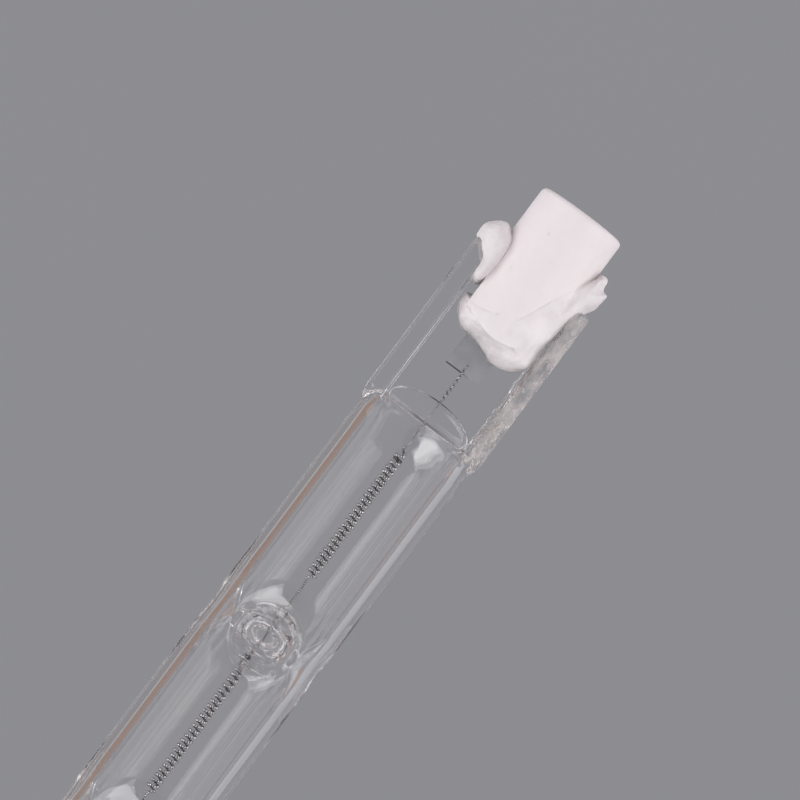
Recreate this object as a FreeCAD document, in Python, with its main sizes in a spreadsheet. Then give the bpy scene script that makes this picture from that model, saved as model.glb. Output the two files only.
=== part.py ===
# Linear double-ended halogen lamp, millimetres.
# X runs along the lamp, the flat pinch seals lie in the XY plane, Z is up, the origin is the light centre.
import FreeCAD, Part
import math
import os
import re
import Sketcher
from FreeCAD import Placement, Rotation, Vector

os.makedirs("parts", exist_ok=True)
doc = FreeCAD.newDocument("linear_halogen_lamp")

# Driving dimensions
DIMENSIONS = [
    ("overall_length", 117.6),          # over the two ceramic caps
    ("tube_diameter", 10.1),
    ("tube_wall", 1.1),
    ("pinch_length", 14.25),            # from the neck to the end of the flat seal
    ("pinch_width", 10.7),              # over the two rails
    ("rail_width", 1.45),
    ("web_thickness", 2.0),
    ("rail_height", 3.8),
    ("rail_rounding", 0.55),
    ("shoulder_start", 2.25),           # tube side of the neck
    ("shoulder_end", 0.65),             # pinch side of the neck
    ("shoulder_rounding", 1.3),
    ("cavity_reach", 2.45),             # gas space past the neck, on the axis
    ("cavity_side_reach", 1.05),        # the same at its sides
    ("cavity_tip_height", 0.7),
    ("cavity_tip_rounding", 6.0),
    ("cavity_side_rounding", 0.6),
    ("dimple_count", 3),
    ("end_space", 1.05),                # from the neck to the end of the outer dimple spans
    ("dimple_floor_thickness", 1.9),    # fused glass between the two dents
    ("dimple_floor_radius", 1.1),
    ("dimple_throat_radius", 1.9),
    ("dimple_mouth_radius", 3.4),
    ("dimple_flare_depth", 1.1),
    ("dimple_post_radius", 1.6),        # fused post inside, at the wire
    ("tip_diameter", 2.6),              # sealed exhaust tip, half a span from the middle
    ("tip_height", 1.3),
    ("wire_diameter", 0.2),             # the primary coil, taken as one round wire
    ("wire_clearance", 0.02),
    ("coil_diameter", 0.91),            # outside
    ("coil_turns", 25),
    ("coil_steps", 4),                  # straight runs a turn
    ("coil_gap_inwards", 4.25),         # from a dimple to the coil beyond it
    ("coil_gap_outwards", 2.9),         # from a coil to the next dimple
    ("end_coil_shift", 1.45),           # the end coils sit this much nearer the seals
    ("tail_overlap", 0.8),              # filament tail welded to the foil
    ("foil_inset", 5.15),               # from the neck
    ("foil_outer_margin", 1.3),         # from the foil to the end of the seal
    ("foil_width", 3.0),
    ("foil_thickness", 0.05),
    ("lead_diameter", 0.6),
    ("lead_overlap", 2.0),              # outer lead welded to the foil
    ("lead_grip", 0.8),                 # outer lead inside the contact
    ("cap_length", 11.4),
    ("cap_side_clearance", 0.04),       # between the rail and the nearer side of the cap
    ("cap_chamfer", 0.3),
    ("cap_offset", 0.18),               # the cap sits a little to one side in its cement
    ("cap_overlap", 5.3),               # length of seal inside the cap
    ("slot_clearance", 0.25),           # cement gap on each face of the seal
    ("slot_end_gap", 0.3),
    ("recess_diameter", 5.0),
    ("contact_depth", 1.7),             # contact face below the cap's rim
    ("contact_diameter", 4.4),
    ("contact_thickness", 0.8),
    ("contact_chamfer", 0.25),
    ("stem_diameter", 1.7),
    ("stem_length", 1.8),
    ("stem_clearance", 0.05),
    ("cement_skirt", 1.95),             # cement past the cap's inner end, on the seal's face
    ("cement_skirt_rise", 0.35),        # cement above the cap's side
    ("cement_skirt_overlap", 0.97),     # cement over the cap's inner end
    ("cement_foot_height", 1.8),        # the skirt's blunt front edge, from the axis
    ("cement_brow_height", 3.43),       # its steeper part, from the axis
    ("cement_brow_reach", 1.17),        # the same, from the cap's inner end
    ("cement_nose_width", 3.12),        # straight part of the front edge
    ("cement_left_trim", 0.78),         # slant of the skirt's corners, along the lamp
    ("cement_right_trim", 1.36),
    ("cement_cover", 0.15),             # cement past the rails' outer sides
    ("cement_lump_width", 2.4),
    ("cement_lump_height", 5.0),
    ("cement_left_length", 5.0),
    ("cement_right_length", 7.2),
]

# Sizes worked out from the driving ones
DERIVED = [
    ("web_width", "=pinch_width - 2 * rail_width"),
    ("rail_corner", "=min(rail_rounding; rail_width * 0.4; rail_height * 0.2)"),
    ("cap_diameter", "=web_width - 2 * (cap_offset + cap_side_clearance)"),
    ("cap_end", "=overall_length / 2"),
    ("cement_reach", "=pinch_width / 2 + cement_cover"),
    ("cap_start", "=overall_length / 2 - cap_length"),
    ("pinch_end", "=cap_start + cap_overlap"),
    ("neck", "=pinch_end - pinch_length"),
    ("bore_radius", "=tube_diameter / 2 - tube_wall"),
    ("dimple_spacing", "=2 * (neck - end_space) / (dimple_count + 1)"),
    ("tip_position", "=-dimple_spacing / 2"),
    ("foil_start", "=neck + foil_inset"),
    ("foil_length", "=pinch_length - foil_inset - foil_outer_margin"),
    ("foil_level", "=-(wire_diameter + foil_thickness) / 2"),
    ("coil_length", "=dimple_spacing - coil_gap_inwards - coil_gap_outwards"),
    ("coil_pitch", "=coil_length / coil_turns"),
    ("coil_radius", "=(coil_diameter - wire_diameter) / 2"),
    ("contact_face", "=cap_end - contact_depth"),
    ("contact_seat", "=contact_face - contact_thickness"),
    ("lead_start", "=foil_start + foil_length - lead_overlap"),
    ("lead_end", "=contact_seat - stem_length + lead_grip"),
    ("lead_level", "=foil_level + (foil_thickness + lead_diameter) / 2"),
]

FIRST_DIMPLE = "-dimple_spacing * (dimple_count - 1) / 2"

sheet = doc.addObject("Spreadsheet::Sheet", "sizes")
for row, (alias, value) in enumerate(DIMENSIONS + DERIVED, start=1):
    sheet.set(f"A{row}", alias)
    sheet.set(f"B{row}", str(value))
    sheet.setAlias(f"B{row}", alias)
doc.recompute()


def size(expression):
    """The value of an expression that names sizes in the sheet."""
    return float(sheet.evalExpression(expression))


def bound(expression):
    """The same expression as an object outside the sheet reads it."""
    words = "|".join(alias for alias, _ in DIMENSIONS + DERIVED)
    return re.sub(rf"\b({words})\b", r"sizes.\1", expression)


def bind(target, **expressions):
    """Ties properties of an object to expressions of the sheet's sizes."""
    for prop, expression in expressions.items():
        target.setExpression(prop, bound(expression))


def place(target, x="0", y="0", z="0"):
    """Ties an object's position to expressions."""
    for axis, expression in zip("xyz", (x, y, z)):
        target.setExpression(f"Placement.Base.{axis}", bound(expression))


def body_plane(body, role):
    return next(f for f in body.Origin.OriginFeatures if f.Role == role)


def new_sketch(body, name, role, offset=None, across=None):
    """A sketch on one of the body's own origin planes, moved along its normal or sideways by expressions."""
    sketch = body.newObject("Sketcher::SketchObject", name)
    sketch.AttachmentSupport = [(body_plane(body, role), "")]
    sketch.MapMode = "FlatFace"
    if offset:
        sketch.setExpression("AttachmentOffset.Base.z", bound(offset))
    if across:
        sketch.setExpression("AttachmentOffset.Base.x", bound(across))
    return sketch


def pin_point(sketch, geometry, end, across, up):
    """Holds one point of a sketch at two expressions from the sketch's origin."""
    for kind, expression in (("DistanceX", across), ("DistanceY", up)):
        index = sketch.addConstraint(Sketcher.Constraint(kind, -1, 1, geometry, end, size(expression)))
        sketch.setExpression(f"Constraints[{index}]", bound(expression))


def outline(sketch, corners, closed=True):
    """Straight sides through corners (across, up, rounding or None), each an expression."""
    points = [Vector(size(c[0]), size(c[1]), 0) for c in corners]
    count = len(corners)
    sides = count if closed else count - 1
    starts, ends = list(points), points[1:] + points[:1]
    cuts = {}
    for i, corner in enumerate(corners):
        if len(corner) < 3:
            continue
        before, after = (points[i - 1] - points[i]).normalize(), (points[(i + 1) % count] - points[i]).normalize()
        half_turn = before.getAngle(after) / 2
        radius = size(corner[2])
        setback = radius / math.tan(half_turn)
        arc_start, arc_end = points[i] + before * setback, points[i] + after * setback
        centre = points[i] + (before + after).normalize() * (radius / math.sin(half_turn))
        cuts[i] = (centre, arc_start, arc_end, before.cross(after).z < 0)
        ends[i - 1], starts[i] = arc_start, arc_end
    lines = []
    for i in range(sides):
        lines.append(sketch.addGeometry(Part.LineSegment(starts[i], ends[i]), False))
    for i, corner in enumerate(corners):
        previous = lines[(i - 1) % count] if closed or i > 0 else None
        following = lines[i] if i < sides else None
        if i in cuts:
            centre, arc_start, arc_end, anticlockwise = cuts[i]
            first, second = (1, 2) if anticlockwise else (2, 1)
            if not anticlockwise:
                arc_start, arc_end = arc_end, arc_start
            ring = Part.Circle(centre, Vector(0, 0, 1), size(corner[2]))
            sweep = [ring.parameter(arc_start), ring.parameter(arc_end)]
            arc = sketch.addGeometry(Part.ArcOfCircle(ring, *sweep), False)
            sketch.addConstraint(Sketcher.Constraint("Tangent", previous, 2, arc, first))
            sketch.addConstraint(Sketcher.Constraint("Tangent", arc, second, following, 1))
            index = sketch.addConstraint(Sketcher.Constraint("Radius", arc, size(corner[2])))
            sketch.setExpression(f"Constraints[{index}]", bound(corner[2]))
            mark = sketch.addGeometry(Part.Point(points[i]), True)
            pin_point(sketch, mark, 1, corner[0], corner[1])
            sketch.addConstraint(Sketcher.Constraint("PointOnObject", mark, 1, previous))
            sketch.addConstraint(Sketcher.Constraint("PointOnObject", mark, 1, following))
            continue
        if previous is not None and following is not None:
            sketch.addConstraint(Sketcher.Constraint("Coincident", previous, 2, following, 1))
        if following is not None:
            pin_point(sketch, following, 1, corner[0], corner[1])
        else:
            pin_point(sketch, previous, 2, corner[0], corner[1])
    return sketch


def circle(sketch, radius, across="0", up="0"):
    centre = Vector(size(across), size(up), 0)
    ring = sketch.addGeometry(Part.Circle(centre, Vector(0, 0, 1), size(radius)), False)
    index = sketch.addConstraint(Sketcher.Constraint("Radius", ring, size(radius)))
    sketch.setExpression(f"Constraints[{index}]", bound(radius))
    pin_point(sketch, ring, 3, across, up)
    return sketch


def pad(body, name, sketch, length, both_ways=False):
    feature = body.newObject("PartDesign::Pad", name)
    feature.Profile = sketch
    feature.SideType = "Symmetric" if both_ways else "One side"
    bind(feature, Length=length)
    doc.recompute()
    return feature


def pocket_through(body, name, sketch):
    feature = body.newObject("PartDesign::Pocket", name)
    feature.Profile = sketch
    feature.SideType = "Symmetric"
    feature.Type = "ThroughAll"
    doc.recompute()
    return feature


def turned(body, name, kind, sketch, axis):
    """A Revolution or Groove of a sketch about its own H_Axis or V_Axis."""
    feature = body.newObject(f"PartDesign::{kind}", name)
    feature.Profile = sketch
    feature.ReferenceAxis = (sketch, [axis])
    feature.Angle = 360
    doc.recompute()
    return feature


def both_ends(body, name, features):
    """Repeats features half a turn round the upright axis."""
    pattern = body.newObject("PartDesign::PolarPattern", name)
    pattern.Originals = features
    pattern.Axis = (body_plane(body, "Z_Axis"), [""])
    pattern.Angle = 360
    pattern.Occurrences = 2
    body.Tip = pattern
    doc.recompute()
    return pattern


def along_tube(body, name, feature):
    """Repeats a feature at every dimple."""
    pattern = body.newObject("PartDesign::LinearPattern", name)
    pattern.Originals = [feature]
    pattern.Direction = (body_plane(body, "X_Axis"), [""])
    bind(pattern, Length="dimple_spacing * (dimple_count - 1)", Occurrences="dimple_count")
    body.Tip = pattern
    doc.recompute()
    return pattern


def new_body(name):
    body = doc.addObject("PartDesign::Body", name)
    doc.recompute()
    return body


def turned_to_end(target, end, sideways="0"):
    """Sets the placement for one end of the lamp: a for +X, b half a turn round."""
    target.Placement = Placement(Vector(0, 0, 0), Rotation(Vector(0, 0, 1), 0 if end == "a" else 180))
    place(target, y=sideways if end == "a" else f"-({sideways})")


def make_envelope_outside():
    """The tube and both pinch seals as one solid, before the gas space is taken out."""
    body = new_body("envelope_outside")
    tube = new_sketch(body, "tube_section", "YZ_Plane")
    circle(tube, "tube_diameter / 2")
    pad(body, "tube", tube, "2 * (neck + shoulder_end)", both_ways=True)

    # The press squeezes the tube down to the web over the shoulder
    for name, sign in (("press_above", ""), ("press_below", "-")):
        press = new_sketch(body, name, "XZ_Plane")
        outline(press, [
            ("neck - shoulder_start", f"{sign}(tube_diameter / 2)", "shoulder_rounding"),
            ("neck + shoulder_end", f"{sign}(web_thickness / 2)", "shoulder_rounding"),
            ("pinch_end", f"{sign}(web_thickness / 2)"),
            ("pinch_end", f"{sign}(tube_diameter)"),
            ("neck - 2 * shoulder_start", f"{sign}(tube_diameter)"),
            ("neck - 2 * shoulder_start", f"{sign}(tube_diameter / 2)"),
        ])
    presses = [pocket_through(body, "pressed_above", doc.getObject("press_above")),
               pocket_through(body, "pressed_below", doc.getObject("press_below"))]
    both_ends(body, "pressed_ends", presses)

    web = new_sketch(body, "web_section", "YZ_Plane", offset="neck")
    outline(web, [("-pinch_width / 2 + rail_corner", "-web_thickness / 2"),
                  ("pinch_width / 2 - rail_corner", "-web_thickness / 2"),
                  ("pinch_width / 2 - rail_corner", "web_thickness / 2"),
                  ("-pinch_width / 2 + rail_corner", "web_thickness / 2")])
    web_pad = pad(body, "web", web, "pinch_length")
    rails = []
    for name, sign in (("left_rail", ""), ("right_rail", "-")):
        section = new_sketch(body, name + "_section", "YZ_Plane", offset="neck - rail_corner")
        outline(section, [
            (f"{sign}(pinch_width / 2)", "rail_height / 2", "rail_corner"),
            (f"{sign}(pinch_width / 2)", "-rail_height / 2", "rail_corner"),
            (f"{sign}(web_width / 2)", "-rail_height / 2", "rail_corner"),
            (f"{sign}(web_width / 2)", "rail_height / 2", "rail_corner"),
        ])
        rails.append(pad(body, name, section, "pinch_length + rail_corner"))
    both_ends(body, "seals", [web_pad] + rails)

    # Opposed dents, pressed in while the glass is soft
    dents = new_sketch(body, "dent_profiles", "XZ_Plane", across=FIRST_DIMPLE)
    for sign in ("", "-"):
        outline(dents, [
            ("0", f"{sign}(dimple_floor_thickness / 2)"),
            ("dimple_floor_radius", f"{sign}(dimple_floor_thickness / 2)"),
            ("dimple_throat_radius", f"{sign}(tube_diameter / 2 - dimple_flare_depth)"),
            ("dimple_mouth_radius", f"{sign}(tube_diameter / 2)"),
            ("dimple_mouth_radius", f"{sign}(tube_diameter)"),
            ("0", f"{sign}(tube_diameter)"),
        ])
    along_tube(body, "dents", turned(body, "dent", "Groove", dents, "V_Axis"))

    # Stub of the sealed exhaust tube
    tip = new_sketch(body, "exhaust_tip_profile", "XY_Plane", across="tip_position")
    outline(tip, [("0", "bore_radius + tube_wall / 2"),
                  ("tip_diameter / 2", "bore_radius + tube_wall / 2"),
                  ("tip_diameter / 2", "tube_diameter / 2 + tip_height / 3"),
                  ("tip_diameter / 5", "tube_diameter / 2 + tip_height"),
                  ("0", "tube_diameter / 2 + tip_height")])
    turned(body, "exhaust_tip", "Revolution", tip, "V_Axis")
    return body


def make_gas_space():
    """Everything that is hollow inside the envelope, the pockets of the sealed-in metal included."""
    body = new_body("gas_space")
    plan = new_sketch(body, "cavity_plan", "XY_Plane")
    outline(plan, [
        ("neck + cavity_reach", "0", "cavity_tip_rounding"),
        ("neck + cavity_side_reach", "bore_radius", "cavity_side_rounding"),
        ("-neck - cavity_side_reach", "bore_radius", "cavity_side_rounding"),
        ("-neck - cavity_reach", "0", "cavity_tip_rounding"),
        ("-neck - cavity_side_reach", "-bore_radius", "cavity_side_rounding"),
        ("neck + cavity_side_reach", "-bore_radius", "cavity_side_rounding"),
    ])
    pad(body, "cavity", plan, "2 * bore_radius", both_ways=True)

    around = new_sketch(body, "round_bore", "YZ_Plane")
    circle(around, "bore_radius")
    outline(around, [("-tube_diameter", "-tube_diameter"), ("tube_diameter", "-tube_diameter"),
                     ("tube_diameter", "tube_diameter"), ("-tube_diameter", "tube_diameter")])
    pocket_through(body, "rounded", around)

    tapers = []
    for name, sign in (("taper_above", ""), ("taper_below", "-")):
        taper = new_sketch(body, name, "XZ_Plane")
        outline(taper, [
            ("neck - shoulder_start - tube_wall / 2", f"{sign}(bore_radius)", "shoulder_rounding"),
            ("neck + cavity_side_reach", f"{sign}(cavity_tip_height / 2)", "shoulder_rounding"),
            ("neck + 2 * cavity_reach", f"{sign}(cavity_tip_height / 2)"),
            ("neck + 2 * cavity_reach", f"{sign}(tube_diameter)"),
            ("neck - 2 * shoulder_start", f"{sign}(tube_diameter)"),
            ("neck - 2 * shoulder_start", f"{sign}(bore_radius)"),
        ])
        tapers.append(pocket_through(body, name + "_cut", taper))
    both_ends(body, "tapered_ends", tapers)

    # Glass posts under the dents, fused round the wire
    post = new_sketch(body, "post_profile", "XZ_Plane", across=FIRST_DIMPLE)
    for sign in ("", "-"):
        outline(post, [
            ("0", "0"),
            ("dimple_post_radius", "0"),
            ("dimple_mouth_radius + tube_wall / 2", f"{sign}(bore_radius)"),
            ("dimple_mouth_radius + tube_wall / 2", f"{sign}(tube_diameter)"),
            ("0", f"{sign}(tube_diameter)"),
        ])
    along_tube(body, "posts", turned(body, "post", "Groove", post, "V_Axis"))

    wire = new_sketch(body, "wire_channel_section", "YZ_Plane")
    circle(wire, "wire_diameter / 2 + wire_clearance")
    pad(body, "wire_channel", wire, "2 * (foil_start + tail_overlap)", both_ways=True)
    foil = new_sketch(body, "foil_pocket_section", "YZ_Plane", offset="foil_start")
    outline(foil, [("-foil_width / 2", "foil_level - foil_thickness / 2"),
                   ("foil_width / 2", "foil_level - foil_thickness / 2"),
                   ("foil_width / 2", "foil_level + foil_thickness / 2"),
                   ("-foil_width / 2", "foil_level + foil_thickness / 2")])
    lead = new_sketch(body, "lead_pocket_section", "YZ_Plane", offset="lead_start")
    circle(lead, "lead_diameter / 2 + wire_clearance", across="-cap_offset", up="lead_level")
    pockets = [pad(body, "foil_pocket", foil, "foil_length"),
               pad(body, "lead_pocket", lead, "pinch_end - lead_start + slot_end_gap")]
    both_ends(body, "metal_pockets", pockets)
    return body


def make_envelope():
    cut = doc.addObject("Part::Cut", "glass_envelope")
    cut.Base = make_envelope_outside()
    cut.Tool = make_gas_space()
    doc.recompute()
    return cut


def coil_starts():
    """Where each wound length begins along X. Its wider gap is on the lamp's middle side."""
    spans = int(size("dimple_count")) + 1
    length, spacing = size("coil_length"), size("dimple_spacing")
    starts = []
    for i in range(spans):
        side = (i > (spans - 1) / 2) - (i < (spans - 1) / 2)
        middle = (i - (spans - 1) / 2) * spacing
        middle += side * size("coil_gap_inwards - coil_gap_outwards") / 2
        if i in (0, spans - 1):
            middle += side * size("end_coil_shift")
        starts.append(middle - length / 2)
    return starts


def filament_points():
    """Tail, wound lengths with straight lengths through the glass posts, tail: one continuous wire."""
    steps = int(size("coil_steps"))
    radius, pitch = size("coil_radius"), size("coil_pitch")
    tail = size("foil_start + tail_overlap")
    points = [Vector(-tail, 0, 0)]
    for start in coil_starts():
        points.append(Vector(start, 0, 0))
        for i in range(int(size("coil_turns")) * steps + 1):
            angle = 2 * math.pi * i / steps
            points.append(Vector(start + pitch * i / steps, radius * math.cos(angle), radius * math.sin(angle)))
        points.append(Vector(start + size("coil_length"), 0, 0))
    points.append(Vector(tail, 0, 0))
    return points


def make_filament():
    path = doc.addObject("Part::Feature", "filament_path")
    path.Shape = Part.makePolygon(filament_points())
    section = doc.addObject("Part::RegularPolygon", "wire_section")
    section.Polygon = 4
    bind(section, Circumradius="wire_diameter / 2")
    section.Placement = Placement(Vector(0, 0, 0), Rotation(Vector(0, 1, 0), 90))
    place(section, x="-foil_start - tail_overlap")
    filament = doc.addObject("Part::Sweep", "filament")
    filament.Sections = [section]
    filament.Spine = (path, [f"Edge{i}" for i in range(1, len(path.Shape.Edges) + 1)])
    filament.Solid = True
    filament.Frenet = False
    filament.Transition = "Right corner"
    return filament


def make_foil(end):
    """Thin molybdenum strip sealed in the web."""
    foil = doc.addObject("Part::Box", f"molybdenum_foil_{end}")
    bind(foil, Length="foil_length", Width="foil_width", Height="foil_thickness")
    turned_to_end(foil, end)
    side = "" if end == "a" else "-"
    place(foil, x=f"{side}foil_start", y=f"{side}(-foil_width / 2)", z="foil_level - foil_thickness / 2")
    return foil


def make_outer_lead(end):
    """Round wire from the foil's outer end, stepping to the axis and into the contact."""
    body = new_body(f"outer_lead_{end}")
    path = new_sketch(body, f"lead_path_{end}", "XZ_Plane")
    outline(path, [("lead_start", "lead_level"),
                   ("pinch_end + slot_end_gap", "lead_level"),
                   ("contact_seat - stem_length - slot_end_gap", "0"),
                   ("lead_end", "0")], closed=False)
    section = new_sketch(body, f"lead_section_{end}", "YZ_Plane", offset="lead_start")
    circle(section, "lead_diameter / 2", up="lead_level")
    lead = body.newObject("PartDesign::AdditivePipe", f"lead_wire_{end}")
    lead.Profile = section
    lead.Spine = (path, ["Edge1", "Edge2", "Edge3"])
    lead.Transition = "Right corner"
    turned_to_end(body, end, sideways="-cap_offset")
    return body


def make_contact(end):
    """Round button with a stem, turned in one piece; the lead sits in the stem's blind hole."""
    body = new_body(f"contact_{end}")
    profile = new_sketch(body, f"contact_profile_{end}", "XZ_Plane")
    outline(profile, [
        ("lead_end", "0"),
        ("contact_face", "0"),
        ("contact_face", "contact_diameter / 2 - contact_chamfer"),
        ("contact_face - contact_chamfer", "contact_diameter / 2"),
        ("contact_seat", "contact_diameter / 2"),
        ("contact_seat", "stem_diameter / 2"),
        ("contact_seat - stem_length", "stem_diameter / 2"),
        ("contact_seat - stem_length", "lead_diameter / 2"),
        ("lead_end", "lead_diameter / 2"),
    ])
    turned(body, f"contact_turning_{end}", "Revolution", profile, "H_Axis")
    turned_to_end(body, end, sideways="-cap_offset")
    return body


def make_ceramic_base(end):
    """Pressed ceramic cap: a cylinder with the contact recess, the stem's bore and a slot for the seal."""
    body = new_body(f"ceramic_base_{end}")
    profile = new_sketch(body, f"cap_profile_{end}", "XZ_Plane")
    outline(profile, [
        ("cap_start", "stem_diameter / 2 + stem_clearance"),
        ("cap_start", "cap_diameter / 2"),
        ("cap_end - cap_chamfer", "cap_diameter / 2"),
        ("cap_end", "cap_diameter / 2 - cap_chamfer"),
        ("cap_end", "recess_diameter / 2"),
        ("contact_face", "recess_diameter / 2"),
        ("contact_face", "contact_diameter / 2 + stem_clearance"),
        ("contact_seat", "contact_diameter / 2 + stem_clearance"),
        ("contact_seat", "stem_diameter / 2 + stem_clearance"),
    ])
    turned(body, f"cap_turning_{end}", "Revolution", profile, "H_Axis")
    slot = new_sketch(body, f"cap_slot_{end}", "XZ_Plane")
    top, bottom = "web_thickness / 2 + slot_clearance", "-web_thickness / 2 - slot_clearance"
    outline(slot, [("cap_start - cap_length", bottom), ("pinch_end + slot_end_gap", bottom),
                   ("pinch_end + slot_end_gap", top), ("cap_start - cap_length", top)])
    pocket_through(body, f"cap_slotted_{end}", slot)
    turned_to_end(body, end, sideways="-cap_offset")
    return body


def make_cement(end, cap, glass):
    """Hardened cement: a skirt on both faces of the seal, fill beside the cap and a lump over each rail."""
    body = new_body(f"cement_mass_{end}")
    skirt = new_sketch(body, f"skirt_profile_{end}", "XZ_Plane")
    crest = "cap_diameter / 2 + cement_skirt_rise"
    outline(skirt, [
        ("cap_start - cement_skirt", "0"),
        ("cap_start - cement_skirt", "cement_foot_height"),
        ("cap_start - cement_brow_reach", "cement_brow_height"),
        ("cap_start", crest),
        ("cap_start + cement_skirt_overlap", "cap_diameter / 2 - slot_clearance"),
        ("cap_start + cement_skirt_overlap", "0"),
    ])
    pad(body, f"upper_skirt_{end}", skirt, "web_width", both_ways=True)
    mirrored = body.newObject("PartDesign::Mirrored", f"both_skirts_{end}")
    mirrored.Originals = [body.Tip]
    mirrored.MirrorPlane = (body_plane(body, "XY_Plane"), [""])
    body.Tip = mirrored
    doc.recompute()

    corners = new_sketch(body, f"skirt_corners_{end}", "XY_Plane")
    for sign, trim in (("", "cement_left_trim"), ("-", "cement_right_trim")):
        outline(corners, [
            ("cap_start - 2 * cement_skirt", f"{sign}(cement_nose_width / 2)"),
            ("cap_start - cement_skirt", f"{sign}(cement_nose_width / 2)"),
            (f"cap_start - cement_skirt + {trim}", f"{sign}(web_width / 2)"),
            (f"cap_start - cement_skirt + {trim}", f"{sign}(web_width)"),
            ("cap_start - 2 * cement_skirt", f"{sign}(web_width)"),
        ])
    pocket_through(body, f"trimmed_skirt_{end}", corners)

    fill = new_sketch(body, f"side_fill_plan_{end}", "XY_Plane")
    outline(fill, [("cap_start", "-web_width / 2 - rail_corner"), ("pinch_end", "-web_width / 2 - rail_corner"),
                   ("pinch_end", "web_width / 2 + rail_corner"), ("cap_start", "web_width / 2 + rail_corner")])
    pad(body, f"side_fill_{end}", fill, "rail_height", both_ways=True)

    # Each lump's uneven outline is in shares of its own length and width
    lumps = new_sketch(body, f"lump_plan_{end}", "XY_Plane")
    inner = "cap_diameter / 2 - slot_clearance"
    outline(lumps, [
        ("pinch_end - cement_left_length * 0.56", inner),
        ("pinch_end - cement_left_length * 0.56", "cement_reach - cement_lump_width * 0.6"),
        ("pinch_end - cement_left_length * 0.36", "cement_reach - cement_lump_width * 0.1"),
        ("pinch_end + cement_left_length * 0.18", "cement_reach"),
        ("pinch_end + cement_left_length * 0.38", "cement_reach - cement_lump_width * 0.25"),
        ("pinch_end + cement_left_length * 0.44", inner),
    ])
    outline(lumps, [
        ("pinch_end - cement_right_length * 0.54", f"-({inner})"),
        ("pinch_end + cement_right_length * 0.46", f"-({inner})"),
        ("pinch_end + cement_right_length * 0.42", "cement_lump_width * 0.55 - cement_reach"),
        ("pinch_end + cement_right_length * 0.24", "-cement_reach"),
        ("pinch_end - cement_right_length * 0.3", "cement_lump_width * 0.1 - cement_reach"),
        ("pinch_end - cement_right_length * 0.54", "cement_lump_width * 0.6 - cement_reach"),
    ])
    pad(body, f"lumps_{end}", lumps, "cement_lump_height", both_ways=True)

    # The outside of the mass, seen along the lamp
    around = new_sketch(body, f"cement_section_{end}", "YZ_Plane")
    side, corner = "cement_reach", "cement_reach - cement_lump_width * 0.4"
    flank, top = "web_width / 2", crest
    quarter = [(side, "cement_lump_height * 0.25"), (corner, "cement_lump_height / 2"),
               (flank, "cement_lump_height / 2"), (f"({flank}) * 0.75", f"({top}) * 0.85"), (f"({flank}) * 0.35", top)]
    ring = quarter + [(f"-({y})", z) for y, z in reversed(quarter)]
    ring += [(f"-({y})", f"-({z})") for y, z in quarter]
    ring += [(y, f"-({z})") for y, z in reversed(quarter)]
    outline(around, ring)
    outline(around, [("-tube_diameter", "-tube_diameter"), ("tube_diameter", "-tube_diameter"),
                     ("tube_diameter", "tube_diameter"), ("-tube_diameter", "tube_diameter")])
    pocket_through(body, f"pared_{end}", around)
    turned_to_end(body, end)

    around_cap = doc.addObject("Part::Cut", f"cement_round_cap_{end}")
    around_cap.Base, around_cap.Tool = body, cap
    cement = doc.addObject("Part::Cut", f"cement_{end}")
    cement.Base, cement.Tool = around_cap, glass
    return cement


def check_document(parts):
    """Stops before anything is written if an object failed or a part isn't one valid solid."""
    doc.recompute()
    failed = [o.Name for o in doc.Objects if "Invalid" in o.State or "Error" in o.State]
    failed += [p.Name for p in parts if p.Shape.isNull() or not p.Shape.isValid() or len(p.Shape.Solids) != 1]
    if failed:
        raise RuntimeError("not built: " + ", ".join(failed))


envelope = make_envelope()
parts = [envelope, make_filament()]
for end in "ab":
    cap = make_ceramic_base(end)
    parts += [make_foil(end), make_outer_lead(end), make_contact(end), cap]
    parts.append(make_cement(end, cap, envelope.Base))
check_document(parts)
for part in parts:
    part.Shape.exportStep(f"parts/{part.Label}.step")
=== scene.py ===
# Linear halogen lamp over a plain floor, seen from straight above one of its ends.
import math
import bpy
import numpy as np
from mathutils import Matrix, Vector, noise


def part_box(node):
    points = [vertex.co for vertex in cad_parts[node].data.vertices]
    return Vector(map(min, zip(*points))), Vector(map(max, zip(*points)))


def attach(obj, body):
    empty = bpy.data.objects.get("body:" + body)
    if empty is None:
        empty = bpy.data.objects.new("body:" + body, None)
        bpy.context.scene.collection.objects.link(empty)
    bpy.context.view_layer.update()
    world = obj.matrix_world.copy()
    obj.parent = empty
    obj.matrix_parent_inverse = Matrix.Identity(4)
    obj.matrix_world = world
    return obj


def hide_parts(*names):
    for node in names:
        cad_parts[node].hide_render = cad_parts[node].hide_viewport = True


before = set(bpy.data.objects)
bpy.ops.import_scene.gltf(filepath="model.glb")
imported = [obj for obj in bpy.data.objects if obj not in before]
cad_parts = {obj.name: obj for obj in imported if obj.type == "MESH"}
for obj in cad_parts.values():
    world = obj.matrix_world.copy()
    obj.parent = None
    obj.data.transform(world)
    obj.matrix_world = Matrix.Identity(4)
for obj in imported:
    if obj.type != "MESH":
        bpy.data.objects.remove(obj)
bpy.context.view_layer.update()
MM = 0.001


def cad_box(node):
    """Lowest and highest corners of a node in millimetres."""
    low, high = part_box(node)
    return [v / MM for v in low], [v / MM for v in high]


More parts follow.
